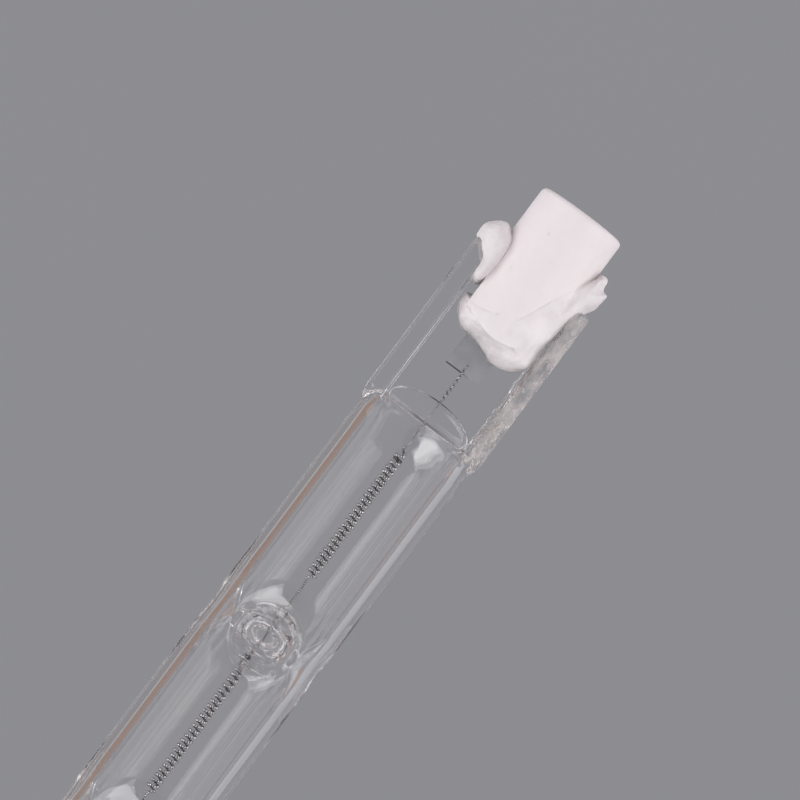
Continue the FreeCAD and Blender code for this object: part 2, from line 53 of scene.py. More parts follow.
# Sizes in millimetres, from the frame where it has them
GLASS_LOW, GLASS_HIGH = cad_box("glass_envelope")
CAP_LOW, CAP_HIGH = cad_box("ceramic_base_a")
CEMENT_LOW, CEMENT_HIGH = cad_box("cement_a")
FOIL_START = cad_box("molybdenum_foil_a")[0][0]
TUBE_RADIUS = GLASS_HIGH[2]
PINCH_END = GLASS_HIGH[0]
PINCH_HALF_WIDTH = -GLASS_LOW[1]
CAP_START, CAP_STOP = CAP_LOW[0], CAP_HIGH[0]
CAP_RADIUS = (CAP_HIGH[1] - CAP_LOW[1]) / 2
CAP_SIDEWAYS = (CAP_HIGH[1] + CAP_LOW[1]) / 2
WALL = 1.1
BORE_RADIUS = TUBE_RADIUS - WALL
SEAL_LENGTH = 14.25
SHOULDER_LENGTH = 3.2
NECK = PINCH_END - SEAL_LENGTH          # where the tube meets the flat seal
SHOULDER = NECK - SHOULDER_LENGTH       # where the tube starts to fall to the seal
WEB_HALF_HEIGHT = 1.0
RAIL_HALF_HEIGHT = 1.9
DIMPLE_SPACING = 18.7
DIMPLES = (-DIMPLE_SPACING, 0.0, DIMPLE_SPACING)


def linked(name, data):
    """A new object of the scene that holds a mesh, a light or a camera."""
    made = bpy.data.objects.new(name, data)
    bpy.context.collection.objects.link(made)
    return made


class Mesh:
    """Vertices and faces gathered by the builders below."""

    def __init__(self):
        self.places = []
        self.faces = []

    def add(self, x, y, z):
        self.places.append((x, y, z))
        return len(self.places) - 1

    def strip(self, first, second, closed=False):
        """Faces between two rows of vertices; where two corners are one vertex the face is a triangle."""
        count = len(first)
        for i in range(count if closed else count - 1):
            j = (i + 1) % count
            corners = (first[i], first[j], second[j], second[i])
            self.faces.append(tuple(dict.fromkeys(corners)))

    def object(self, name, smooth=True):
        data = bpy.data.meshes.new(name)
        data.from_pydata([Vector(p) * MM for p in self.places], [], self.faces)
        data.validate()
        if smooth:
            data.shade_smooth()
        else:
            data.shade_flat()
        return linked(name, data)


def ease(low, high, value):
    """0 up to low, 1 from high on, and smooth between them."""
    t = min(1.0, max(0.0, (value - low) / (high - low)))
    return t * t * (3 - 2 * t)


def smooth_least(a, b, width):
    """The lesser of two values, rounded where they cross."""
    h = max(width - abs(a - b), 0.0) / width
    return min(a, b) - h * h * width / 4


def closing(past, power, roundness):
    """1 at the start of a rounded end, 0 at its tip."""
    return max(0.0, 1 - past ** power) ** roundness


def grain(x, y, along, across, layer):
    """Smooth noise over the plan, with its frequencies along and across; each layer is another pattern."""
    return noise.noise(Vector((x * along, y * across, layer)))


def wander(x, frequency, layer, other_layer):
    """Smooth noise along the lamp."""
    return noise.noise(Vector((x * frequency, layer, other_layer)))


def through(points, value):
    """A smooth curve through (place, height) points that never overshoots them."""
    places = [p[0] for p in points]
    if value <= places[0]:
        return points[0][1]
    if value >= places[-1]:
        return points[-1][1]
    i = max(k for k in range(len(points) - 1) if places[k] <= value)
    slopes = [(b[1] - a[1]) / (b[0] - a[0]) for a, b in zip(points, points[1:])]

    def tangent(k):
        if k == 0:
            return slopes[0]
        if k == len(points) - 1:
            return slopes[-1]
        before, after = slopes[k - 1], slopes[k]
        return 0.0 if before * after <= 0 else 2 * before * after / (before + after)

    span = places[i + 1] - places[i]
    t = (value - places[i]) / span
    start, end = points[i][1], points[i + 1][1]
    return ((2 * t**3 - 3 * t**2 + 1) * start + (t**3 - 2 * t**2 + t) * span * tangent(i)
            + (3 * t**2 - 2 * t**3) * end + (t**3 - t**2) * span * tangent(i + 1))


# Half of the seal's outline: share of the half ring, across, up
RAIL = [
    (0.80, 4.85, RAIL_HALF_HEIGHT),
    (0.86, 5.22, RAIL_HALF_HEIGHT - 0.15),
    (0.91, PINCH_HALF_WIDTH, RAIL_HALF_HEIGHT - 0.55),
    (1.0, PINCH_HALF_WIDTH, 0.0),
]
THIN_STEP = [
    (0.0, 0.0, WEB_HALF_HEIGHT),
    (0.53, 3.76, WEB_HALF_HEIGHT),
    (0.56, 3.80, WEB_HALF_HEIGHT + 0.07),
    (0.60, 3.83, WEB_HALF_HEIGHT + 0.55),
    (0.64, 3.92, RAIL_HALF_HEIGHT - 0.05),
    (0.68, 4.15, RAIL_HALF_HEIGHT),
] + RAIL
SHARP_STEP = [
    (0.0, 0.0, WEB_HALF_HEIGHT),
    (0.50, 3.55, WEB_HALF_HEIGHT),
    (0.56, 3.82, WEB_HALF_HEIGHT + 0.08),
    (0.62, 4.0, RAIL_HALF_HEIGHT - 0.32),
    (0.67, 4.2, RAIL_HALF_HEIGHT - 0.05),
] + RAIL
STEP_SHARES = (0.50, 0.62)      # shares of the half ring between which the web steps up to the rail
SIDE_SHARES = (0.80, 0.95)      # shares between which the rail's top turns to its side
END_ROUNDING = 0.45             # of the seal's outer end

# The shoulder: distance past the neck, share of the fall from the round tube to the seal, outside and inside
SHOULDER_FALL = [(-3.0, 0.0), (-2.4, 0.025), (-1.7, 0.075), (-0.35, 0.20), (-0.1, 0.26), (0.25, 0.62),
                 (0.5, 0.90), (0.8, 1.0)]
INNER_FALL = [(-3.2, 0.0), (-2.5, 0.03), (-1.7, 0.09), (-0.35, 0.24), (-0.05, 0.36), (0.3, 0.78),
              (0.6, 0.95), (1.0, 1.0)]
WIDENING = (NECK - 1.2, NECK + 0.3)     # between these the outside widens to the seal

# Unevenness of the pressed glass: on the web, added on the rails, dents of the -Y rail, added by the neck
WEB_MARKS = 0.03
RAIL_MARKS = 0.04
RAIL_DENTS = 0.20
NECK_DENTS = 0.34
NECK_DENTS_FADE = (NECK + 3.5, NECK + 6.0)

# The gas space's end in the seal
CAVITY_SIDES = NECK + 0.1       # where its sides start to close
CAVITY_END = NECK + 2.45
CAVITY_END_GAP = 0.02           # the last ring lies this much before the end
CAVITY_TIP_HEIGHT = 0.42

# A dimple: distance from its middle, depth under the round tube; the flare round it shapes both surfaces
FLARE = [(2.74, 0.60), (2.86, 0.51), (3.2, 0.34), (3.7, 0.155), (4.2, 0.04), (4.6, 0.0)]
BORE_FLARE = [(1.6, 1.3)] + FLARE
BOWL = [(0.0, 4.14), (0.45, 4.12), (0.8, 3.98), (1.1, 3.66), (1.45, 3.08), (1.85, 2.32), (2.25, 1.52),
        (2.6, 0.80)]
CRATER_FLOOR = 0.93
FLOOR_ROUNDING = 0.35
CRATER_SQUEEZE = 0.30           # share by which the crater is narrower along the tube
SQUEEZE_FADE = (1.7, 3.0)       # distances from its middle between which it turns round again
SWIRL_HEIGHT = 0.025
SWIRL_START = (0.1, 0.5)        # distances between which the swirls set in, and fade
SWIRL_FADE = (1.3, 1.9)

# The glass post under it: distance outside the fused outline, height of the gas space
POST = [(0.0, 0.0), (0.05, 0.25), (0.25, 0.90), (0.6, 1.75), (1.0, 2.65), (1.3, 3.2), (1.8, 3.8), (3.0, 5.0)]
POST_ROUNDING = 0.3
POST_LEAST = 0.02               # height of the gas space just outside the fused outline
BORE_LEAST = 0.6                # height of the bore under the flare
FUSED = (1.3, 1.95)             # half axes of the fused zone, along and across
FUSED_SQUARE = 3.0              # how square its outline is
FUSED_UNEVEN = 0.05             # share by which its outline wanders
SIDE_DRAW = 0.05                # share by which the bore's sides are drawn in beside a dimple
SIDE_DRAW_REACH = 2.0
SIDE_DRAW_SHARES = (0.5, 0.85)  # shares of the half width between which that sets in

# The sealed stub of the exhaust tube
TIP_RADIUS = 1.3
TIP_HEIGHT = GLASS_HIGH[1] - TUBE_RADIUS
TIP_X = -DIMPLE_SPACING / 2
TIP_REACH = TIP_RADIUS + 0.2    # half of the stretch of tube with fine rings for it

# How finely the envelope is divided: steps over the top of a ring, and the rings' spacing in millimetres
HALF_RING = 64
PLAIN_STEP = 2.5                # on the round tube
TIP_STRETCH_STEP = 1.5          # on the round tube by the stub
TIP_STEP = 0.14
NEAR_STEP = 0.155               # on the end that the picture shows
FAR_STEP = 0.24                 # on the other end
PATCH_HALF = 4.7                # half of a dimple's stretch of tube
PATCH_SIDE = 20                 # steps along its sides
OUTSIDE_ROWS = 30               # rows from its middle to its border
INSIDE_ROWS = 26
INSIDE_SPREAD = 1.1             # above 1 the inside's rows lie closer together by the fused outline
MIDDLE_RING = 0.22              # radius of the outside's innermost row


def seal_point(share):
    """Across and up on the seal's upper half, for a share from -1 to 1 of the half ring."""
    outline = SHARP_STEP if share < 0 else THIN_STEP
    across = through([(f, y) for f, y, _ in outline], abs(share))
    return math.copysign(across, share), through([(f, z) for f, _, z in outline], abs(share))


def press_marks(x, y):
    """Slight unevenness of the pressed glass."""
    return grain(x, y, 0.55, 0.55, 3.1) * 0.6 + grain(x, y, 1.7, 1.7, 8.4) * 0.4


def rail_dents(x, y):
    """Broad, middling and fine dents of the unevenly pressed rail."""
    return 0.8 * grain(x, y, 0.9, 1.6, 21.0) + grain(x, y, 1.9, 2.4, 5.0) + 0.5 * grain(x, y, 4.0, 4.6, 13.0)


def tip_bulge(x, share):
    """Factor by which the outside stands out where the sealed exhaust tube is."""
    distance = math.hypot(x - TIP_X, (1 - share) * math.pi / 2 * TUBE_RADIUS)
    return 1 + TIP_HEIGHT * closing(distance / TIP_RADIUS, 2.4, 0.8) / TUBE_RADIUS


def outside_point(x, share):
    """Across and up of the envelope's outside, upper half."""
    along = abs(x)
    angle = share * math.pi / 2
    y, z = TUBE_RADIUS * math.sin(angle), TUBE_RADIUS * math.cos(angle)
    if along < SHOULDER:
        bulge = tip_bulge(x, share)
        return y * bulge, z * bulge
    seal_y, seal_z = seal_point(share)
    flatten = through(SHOULDER_FALL, along - NECK)
    y += (seal_y - y) * ease(*WIDENING, along)
    z += (seal_z - z) * flatten
    if abs(share) < 1:
        rail = ease(*STEP_SHARES, abs(share))
        z += press_marks(x, y) * (WEB_MARKS + RAIL_MARKS * rail) * flatten * (1 - abs(share) ** 6)
        if y < 0:
            dents = RAIL_DENTS + NECK_DENTS * (1 - ease(*NECK_DENTS_FADE, along))
            z += rail_dents(x, y) * dents * rail * flatten * (1 - abs(share) ** 8)
    past = max(0.0, along - (PINCH_END - END_ROUNDING))
    inset = END_ROUNDING - math.sqrt(max(END_ROUNDING ** 2 - past ** 2, 0.0))
    lowered = inset if z > 0.01 else 0.0
    return y - math.copysign(inset, y) * ease(*SIDE_SHARES, abs(share)), z - lowered


def inside_point(x, share):
    """Across and up of the gas space, upper half."""
    along = abs(x)
    angle = share * math.pi / 2
    past = max(0.0, along - CAVITY_SIDES) / (CAVITY_END - CAVITY_SIDES)
    width = BORE_RADIUS * closing(past, 2.2, 0.45)
    height = BORE_RADIUS + (CAVITY_TIP_HEIGHT - BORE_RADIUS) * through(INNER_FALL, along - NECK)
    height *= closing(past, 3, 0.5)
    return width * math.sin(angle), height * math.cos(angle)


def fused_reach(along, across):
    """1 on the outline of the fused zone, less inside it."""
    p = FUSED_SQUARE
    reach = ((abs(along) / FUSED[0]) ** p + (abs(across) / FUSED[1]) ** p) ** (1 / p)
    bearing = math.atan2(across, along)
    return reach * (1 + FUSED_UNEVEN * grain(math.cos(bearing), math.sin(bearing), 2.2, 2.2, 1.7))


def crater_height(centre):
    """Height of the outside round a dimple: the tube, the flare, and the bowl down to its swirled floor."""
    def height(x, y):
        tube = math.sqrt(max(TUBE_RADIUS ** 2 - y * y, 0.0))
        distance = math.hypot(x - centre, y)
        narrowed = (x - centre) * (1 + CRATER_SQUEEZE * (1 - ease(*SQUEEZE_FADE, distance)))
        dent = tube - through(BOWL + FLARE, math.hypot(narrowed, y))
        if dent >= tube:
            return tube
        swirl = grain(x, y, 1.5, 1.5, 40.0) + 0.5 * grain(x, y, 3.4, 3.4, 50.0)
        swirl *= SWIRL_HEIGHT * (1 - ease(*SWIRL_FADE, distance)) * ease(*SWIRL_START, distance)
        return -smooth_least(-dent - swirl, -CRATER_FLOOR - 0.5 * swirl, FLOOR_ROUNDING)
    return height


def post_height(centre):
    """Height of the gas space round a dimple: the bore, and the post that it closes round."""
    def height(x, y):
        reach = fused_reach(x - centre, y)
        from_middle = math.hypot(x - centre, y)
        distance = from_middle * (1 - 1 / reach) if reach > 1 else 0.0
        if distance <= 0:
            return 0.0
        bore = math.sqrt(max(BORE_RADIUS ** 2 - y * y, 0.0)) - through(BORE_FLARE, from_middle)
        return max(POST_LEAST, smooth_least(max(bore, BORE_LEAST), through(POST, distance), POST_ROUNDING))
    return height


def section_ring(mesh, x, point):
    """A closed ring of vertices at x: over the top from -Y to +Y, then back below."""
    half = [point(x, 2 * i / HALF_RING - 1) for i in range(HALF_RING + 1)]
    top = [mesh.add(x, y, z) for y, z in half]
    below = [mesh.add(x, y, -z) for y, z in half[1:-1]]
    return top + below[::-1]


def ring_halves(ring):
    """The upper and lower halves of a ring, both from -Y to +Y."""
    return ring[:HALF_RING + 1], [ring[0]] + ring[:HALF_RING:-1] + [ring[HALF_RING]]


def drawn_in(along, across):
    """Share of its width that the bore keeps beside a dimple; across is the share of the half width."""
    beside = math.exp(-(along / SIDE_DRAW_REACH) ** 2)
    return 1 - SIDE_DRAW * (beside * ease(*SIDE_DRAW_SHARES, across))


def patch_sides(mesh, centre, radius, inner):
    """Vertices at half height along a patch's two sides, as (vertex, x)."""
    sides = {}
    for side in (-1, 1):
        sides[side] = []
        for i in range(1, PATCH_SIDE):
            x = centre - PATCH_HALF + 2 * PATCH_HALF * i / PATCH_SIDE
            kept = drawn_in(x - centre, 1.0) if inner else 1.0
            sides[side].append((mesh.add(x, side * radius * kept, 0.0), x))
    return sides


def patch_border(low_half, high_half, sides, centre):
    """A patch's border as (vertex, x, share), all round from the -Y corner of its low end."""
    low_x, high_x = centre - PATCH_HALF, centre + PATCH_HALF
    shares = [2 * i / HALF_RING - 1 for i in range(HALF_RING + 1)]
    border = [(low_half[0], low_x, -1.0)]
    border += [(i, x, -1.0) for i, x in sides[-1]]
    border += [(i, high_x, s) for i, s in zip(high_half, shares)]
    border += [(i, x, 1.0) for i, x in reversed(sides[1])]
    border += [(i, low_x, s) for i, s in zip(reversed(low_half[1:]), reversed(shares[1:]))]
    return border


def patch_rows(border, centre, radius, height, inner):
    """Rows of places from the dimple's middle ring, or from its fused outline, out to the border."""
    count = INSIDE_ROWS if inner else OUTSIDE_ROWS
    spread = INSIDE_SPREAD if inner else 1.0
    rows = [[] for _ in range(count)]
    for _, x, share in border:
        angle = share * math.pi / 2
        bearing = math.atan2(angle * radius, x - centre)
        reach = fused_reach(math.cos(bearing), math.sin(bearing)) if inner else 1 / MIDDLE_RING
        start_x = centre + math.cos(bearing) / reach
        start_angle = math.asin(math.sin(bearing) / reach / radius)
        for j, row in enumerate(rows):
            t = (j / count) ** spread
            px = start_x + (x - start_x) * t
            py = radius * math.sin(start_angle + (angle - start_angle) * t)
            kept = drawn_in(px - centre, abs(py) / radius) if inner and j else 1.0
            row.append((px, py * kept, height(px, py) * kept))
    return rows


def dimple_patch(mesh, centre, low_ring, high_ring, radius, height, inner):
    """The stretch of a tube wall round one dimple, between two rings.

    On the inside the upper and lower surfaces meet on the fused outline. The outside's surfaces run on over
    the dimple's middle."""
    sides = patch_sides(mesh, centre, radius, inner)
    outline = None
    for sign, low_half, high_half in zip((1, -1), ring_halves(low_ring), ring_halves(high_ring)):
        border = patch_border(low_half, high_half, sides, centre)
        rows = patch_rows(border, centre, radius, height, inner)
        if inner:
            first_row = rows.pop(0)
            outline = outline or [mesh.add(x, y, 0.0) for x, y, _ in first_row]
            grid = [outline]
        else:
            grid = [[mesh.add(centre, 0.0, sign * height(centre, 0.0))] * len(border)]
        grid += [[mesh.add(x, y, sign * z) for x, y, z in row] for row in rows]
        grid.append([i for i, _, _ in border])
        for near, far in zip(grid, grid[1:]):
            if (sign > 0) != inner:
                mesh.strip(far, near, closed=True)
            else:
                mesh.strip(near, far, closed=True)


def stations(stops, steps):
    """Places along X from stop to stop, with a step for each stretch between them."""
    places = [stops[0]]
    for low, high, step in zip(stops, stops[1:], steps):
        count = max(1, round((high - low) / step))
        places += [low + (high - low) * i / count for i in range(1, count)] + [high]
    return places


def wall_surface(mesh, point, height_of, radius, end, inner):
    """One surface of the envelope: rings, with a patch at each dimple. Returns its first and last ring."""
    spans = [(-end, DIMPLES[0] - PATCH_HALF)]
    spans += [(a + PATCH_HALF, b - PATCH_HALF) for a, b in zip(DIMPLES, DIMPLES[1:])]
    spans += [(DIMPLES[-1] + PATCH_HALF, end)]
    runs = []
    for low, high in spans:
        if low == -end:
            places = stations((low, -SHOULDER, high), (FAR_STEP, PLAIN_STEP))
        elif high == end:
            places = stations((low, SHOULDER, high), (PLAIN_STEP, NEAR_STEP))
        elif low < TIP_X < high and not inner:
            stops = (low, TIP_X - TIP_REACH, TIP_X + TIP_REACH, high)
            places = stations(stops, (TIP_STRETCH_STEP, TIP_STEP, TIP_STRETCH_STEP))
        else:
            places = stations((low, high), (PLAIN_STEP,))
        rings = [section_ring(mesh, x, point) for x in places]
        for near, far in zip(rings, rings[1:]):
            if inner:
                mesh.strip(near, far, closed=True)
            else:
                mesh.strip(far, near, closed=True)
        runs.append(rings)
    for centre, before, after in zip(DIMPLES, runs, runs[1:]):
        dimple_patch(mesh, centre, before[-1], after[0], radius, height_of(centre), inner)
    return runs[0][0], runs[-1][-1]


def close_ends(mesh, facing_back, facing_forward):
    """Faces over the two end rings of a surface, the first facing -X and the second +X."""
    top, below = ring_halves(facing_back)
    mesh.strip(top, below)
    top, below = ring_halves(facing_forward)
    mesh.strip(below, top)


def make_envelope():
    mesh = Mesh()
    first, last = wall_surface(mesh, outside_point, crater_height, TUBE_RADIUS, PINCH_END, inner=False)
    close_ends(mesh, first, last)
    inner_end = CAVITY_END - CAVITY_END_GAP
    first, last = wall_surface(mesh, inside_point, post_height, BORE_RADIUS, inner_end, inner=True)
    close_ends(mesh, last, first)
    return mesh.object("quartz_envelope")


# Filament: distance from the lamp's middle, radius of the turns, their pitch, radius of the fine winding
COIL_RADIUS = 0.355
COIL_PITCH = 0.469
WINDING = 0.070
WIRE = 0.050                    # half thickness of the wire as seen
FINE_PITCH = 0.185              # length of the wound line for each turn of the fine winding
FINE_STEPS = 8                  # steps in that turn
TAIL_END = 44.4
START_PHASE = 0.4
COURSE = [
    (0.0, 0.02, 1.6, 0.03),
    (1.3, 0.03, 1.6, 0.045),
    (1.9, 0.03, 1.6, WINDING),
    (3.8, 0.05, 1.7, WINDING),
    (4.1, 0.20, 0.8, WINDING),
    (4.25, COIL_RADIUS, COIL_PITCH, WINDING),
    (15.8, COIL_RADIUS, COIL_PITCH, WINDING),
    (15.95, 0.22, 0.5, WINDING),
    (16.9, 0.14, 0.62, WINDING),
    (17.2, 0.05, 1.2, 0.05),
    (18.7, 0.02, 1.6, 0.03),
    (20.0, 0.03, 1.6, 0.045),
    (20.8, 0.02, 1.6, 0.05),
    (23.9, 0.05, 1.8, WINDING),
    (24.45, 0.20, 0.8, WINDING),
    (24.6, COIL_RADIUS, COIL_PITCH, WINDING),
    (35.72, COIL_RADIUS, COIL_PITCH, WINDING),
    (35.95, 0.22, 0.9, WINDING),
    (36.6, 0.12, 1.5, 0.05),
    (37.6, 0.03, 1.5, 0.02),
    (40.6, 0.0, 1.5, 0.02),
    (41.0, 0.03, 0.8, 0.03),
    (41.3, 0.10, 0.42, 0.035),
    (43.6, 0.10, 0.42, 0.035),
    (TAIL_END, 0.04, 0.8, 0.035),
]
# How far the coil strays: it sags and shifts, its turns are loose and their pitch is uneven
SAG = 0.10
SHIFT = 0.06
LOOSENESS = 0.07
PITCH_UNEVEN = 0.06

# Where the wire is thickened by the fused glass posts
KNOTS = [centre + shift for centre in DIMPLES for shift in (2.35, 1.1, 0.65, -0.55, -1.0)]
KNOT_LENGTH = 0.16
KNOT_SWELL = 0.05
FUSED_LENGTH = 1.7
FUSED_SWELL = 0.02


def course_at(along):
    """Radius of the turns, pitch and winding radius at a distance from the lamp's middle."""
    k = 0
    while k < len(COURSE) - 2 and COURSE[k + 1][0] <= along:
        k += 1
    a, b = COURSE[k], COURSE[k + 1]
    t = min(1.0, max(0.0, (along - a[0]) / (b[0] - a[0])))
    return [a[i] + (b[i] - a[i]) * t for i in (1, 2, 3)]


def wound_line():
    """The line that the fine winding goes round, from end to end, and the winding's radius along it."""
    step = FINE_PITCH / FINE_STEPS
    x, phase = -TAIL_END, START_PHASE
    centres, windings = [], []
    while x < TAIL_END:
        radius, pitch, winding = course_at(abs(x))
        sag = SAG * wander(x, 0.35, 5.0, 2.0)
        shift = SHIFT * wander(x, 0.3, 9.0, 4.0)
        loose = 1 + LOOSENESS * wander(x, 1.2, 1.0, 7.0)
        centres.append((x, radius * loose * math.cos(phase) + shift, radius * loose * math.sin(phase) + sag))
        windings.append(winding)
        turn = 2 * math.pi / (pitch * (1 + PITCH_UNEVEN * wander(x, 0.8, 3.0, 1.0)))
        dx = step / math.sqrt(1 + (radius * turn) ** 2)
        x += dx
        phase += dx * turn
    return np.array(centres), np.array(windings)


def unit(vectors):
    return vectors / np.linalg.norm(vectors, axis=1)[:, None]


def untwisted_sides(tangents):
    """A direction across the line at each place, which follows the line without turning about it."""
    sides = np.zeros_like(tangents)
    sides[0] = (0.0, 0.0, 1.0)
    for i, tangent in enumerate(tangents):
        before = sides[max(i - 1, 0)]
        sides[i] = before - tangent * before.dot(tangent)
        sides[i] /= np.linalg.norm(sides[i])
    return sides


def wire_radius(x):
    """Half thickness of the wire, more where fused glass holds it."""
    knot = max(math.exp(-((x - place) / KNOT_LENGTH) ** 2) for place in KNOTS)
    fused = max(math.exp(-((x - place) / FUSED_LENGTH) ** 4) for place in DIMPLES)
    return WIRE + KNOT_SWELL * knot + FUSED_SWELL * fused


def make_filament():
    centres, windings = wound_line()
    tangents = unit(np.gradient(centres, axis=0))
    side = untwisted_sides(tangents)
    other = np.cross(tangents, side)
    turns = (np.arange(len(centres)) * (2 * math.pi / FINE_STEPS))[:, None]
    out = side * np.cos(turns) + other * np.sin(turns)
    wire = centres + out * windings[:, None]
    along = unit(np.gradient(wire, axis=0))
    out = unit(out - along * (out * along).sum(axis=1)[:, None])
    across = np.cross(along, out)
    mesh = Mesh()
    rows = []
    for place, a, b in zip(wire, out, across):
        thick = wire_radius(place[0])
        rows.append([mesh.add(*(place + thick * (a * math.cos(q) + b * math.sin(q))))
                     for q in (0.0, math.pi / 2, math.pi, 1.5 * math.pi)])
    for before, after in zip(rows, rows[1:]):
        mesh.strip(before, after, closed=True)
    mesh.faces.append(tuple(rows[0]))
    mesh.faces.append(tuple(reversed(rows[-1])))
    return mesh.object("coiled_filament")


# Ceramic bases
EDGE = 0.42                     # rounding of both ends
EDGE_STEPS = 6
BARREL_STEPS = 30
RECESS_RADIUS = 2.5
RECESS_DEPTH = 1.7
RECESS_CHAMFER = 0.12
SLOT_CLEARANCE = 0.3
SLOT_HALF_WIDTH = PINCH_HALF_WIDTH + SLOT_CLEARANCE
SLOT_HALF_HEIGHT = 1.98
BASE_UNEVEN = 0.02              # height of the ceramic's slight waves
BASE_SEEDS = {"a": 3.0, "b": 40.0}


def lathe(mesh, profile, centre_y, count=96):
    """A closed body turned about an axis along X; the profile starts and ends on the axis."""
    rings = []
    for x, radius in profile:
        if radius < 1e-6:
            rings.append([mesh.add(x, centre_y, 0.0)] * count)
            continue
        angles = [2 * math.pi * i / count for i in range(count)]
        rings.append([mesh.add(x, centre_y + radius * math.cos(a), radius * math.sin(a)) for a in angles])
    for a, b in zip(rings, rings[1:]):
        mesh.strip(b, a, closed=True)


def settle(piece):
    """Turn a piece's modifiers into its mesh."""
    graph = bpy.context.evaluated_depsgraph_get()
    done = bpy.data.meshes.new_from_object(piece.evaluated_get(graph))
    piece.modifiers.clear()
    piece.data = done


def cut(piece, low, high):
    """Take a box out of a piece."""
    box = Mesh()
    section = ((low[1], low[2]), (high[1], low[2]), (high[1], high[2]), (low[1], high[2]))
    near, far = [[box.add(x, y, z) for y, z in section] for x in (low[0], high[0])]
    box.strip(far, near, closed=True)
    box.faces += [tuple(reversed(near)), tuple(far)]
    tool = box.object("tool", smooth=False)
    change = piece.modifiers.new("cut", "BOOLEAN")
    change.operation, change.solver, change.object = "DIFFERENCE", "EXACT", tool
    settle(piece)
    bpy.data.objects.remove(tool)


def turned_round(piece, end):
    """End b is end a turned half a turn about the vertical."""
    if end == "b":
        for vertex in piece.data.vertices:
            vertex.co.x, vertex.co.y = -vertex.co.x, -vertex.co.y
    return piece


def base_profile():
    """Half of the base's section, as (x, radius), from the axis of its inner end to that of its recess."""
    quarter = [math.pi / 2 * i / EDGE_STEPS for i in range(EDGE_STEPS + 1)]
    rounding = [(EDGE * (1 - math.sin(a)), EDGE * (1 - math.cos(a))) for a in quarter]
    barrel = CAP_STOP - CAP_START - 2 * EDGE
    floor = CAP_STOP - RECESS_DEPTH
    profile = [(CAP_START, 0.0), (CAP_START, CAP_RADIUS - EDGE)]
    profile += [(CAP_START + v, CAP_RADIUS - u) for u, v in rounding[1:]]
    profile += [(CAP_START + EDGE + barrel * i / BARREL_STEPS, CAP_RADIUS) for i in range(1, BARREL_STEPS)]
    profile += [(CAP_STOP - u, CAP_RADIUS - v) for u, v in rounding]
    profile += [(CAP_STOP, RECESS_RADIUS + RECESS_CHAMFER), (CAP_STOP - RECESS_CHAMFER, RECESS_RADIUS)]
    return profile + [(floor, RECESS_RADIUS), (floor, 0.0)]


def make_base(end):
    mesh = Mesh()
    lathe(mesh, base_profile(), CAP_SIDEWAYS)
    piece = mesh.object("base_" + end)
    slot_low = (CAP_START - 1, -SLOT_HALF_WIDTH, -SLOT_HALF_HEIGHT)
    slot_high = (PINCH_END + SLOT_CLEARANCE, SLOT_HALF_WIDTH, SLOT_HALF_HEIGHT)
    cut(piece, slot_low, slot_high)
    seed = Vector((BASE_SEEDS[end], 0, 0))
    for vertex in piece.data.vertices:
        place = vertex.co / MM
        radial = Vector((0.0, place.y - CAP_SIDEWAYS, place.z))
        if radial.length > 1:
            amount = BASE_UNEVEN * (noise.noise(place * 0.5 + seed) - 0.8)
            vertex.co += radial.normalized() * amount * MM
    return turned_round(piece, end)


# Cement: outlines in plan around end a, as (X, Y)
SKIRT = [(48.9, 3.35), (48.74, 3.52), (48.4, 3.52), (47.66, 3.42), (47.08, 3.1), (46.5, 2.46), (46.24, 1.65),
         (46.26, 1.1), (45.97, 0.0), (45.52, -0.86), (45.46, -1.65), (45.83, -2.81), (46.34, -3.5),
         (46.85, -3.88), (47.53, -3.95), (48.22, -3.9), (49.13, -3.97), (49.79, -4.12), (51.07, -4.24),
         (52.2, -4.59), (52.88, -4.88), (53.35, -5.07), (54.22, -5.33), (54.98, -5.4), (55.08, -4.82),
         (55.77, -4.68), (56.05, -4.3), (55.92, -3.95), (55.25, -3.5), (54.5, -2.7), (53.3, -1.9),
         (51.6, -1.0), (50.2, -0.3), (49.6, 0.8), (49.1, 2.6)]
PETAL = [(52.72, 5.43), (53.1, 5.47), (53.79, 5.43), (54.53, 4.84), (54.8, 4.3), (54.77, 3.8), (54.6, 3.44),
         (53.8, 2.6), (52.0, 2.3), (50.6, 2.5), (49.68, 3.15), (50.05, 3.98), (51.0, 4.15), (51.6, 4.4),
         (52.15, 4.8), (52.45, 5.15)]
OUTLINE_STEPS = 4               # steps from one point of an outline to the next
PART_VOXEL = 0.11
JOINED_VOXEL = 0.10
EDGE_THICKNESS = 0.12           # share of a part's height that is left at its edge
SKIRT_ROUNDING = 1.1
RIM_HEIGHT = 2.8                # the skirt's rolled rim, from the axis
OVER_BASE = 0.10                # cement on top of the base
BESIDE_BASE = 0.15              # and on its sides
SKIRT_LEAST = 2.3               # half height of the skirt beside the base
CREASE_RISE = (0.3, 0.5)        # the climb starts this far before the crease, and its length
CREASE_X = 46.9
CREASE_Y = -0.3                 # the crease bows away from the base on both sides of this
CREASE_BOW = 0.13
PETAL_ROUNDING = 1.2
PETAL_HALF_HEIGHT = 2.6
PETAL_MIDDLE = 0.2
CEMENT_SEEDS = {"a": 11.0, "b": 61.0}
FOLD_HEIGHT = 0.16
ROUGH_HEIGHT = 0.06
SMOOTHED = 0.75                 # share of both that is smoothed away over the base
SUNK = 0.05
GROOVE_DEPTH = 0.16
GROOVE_HALF_WIDTH = 0.13
BOX_MARGIN = 0.01               # the cement stays this far inside its solid's box


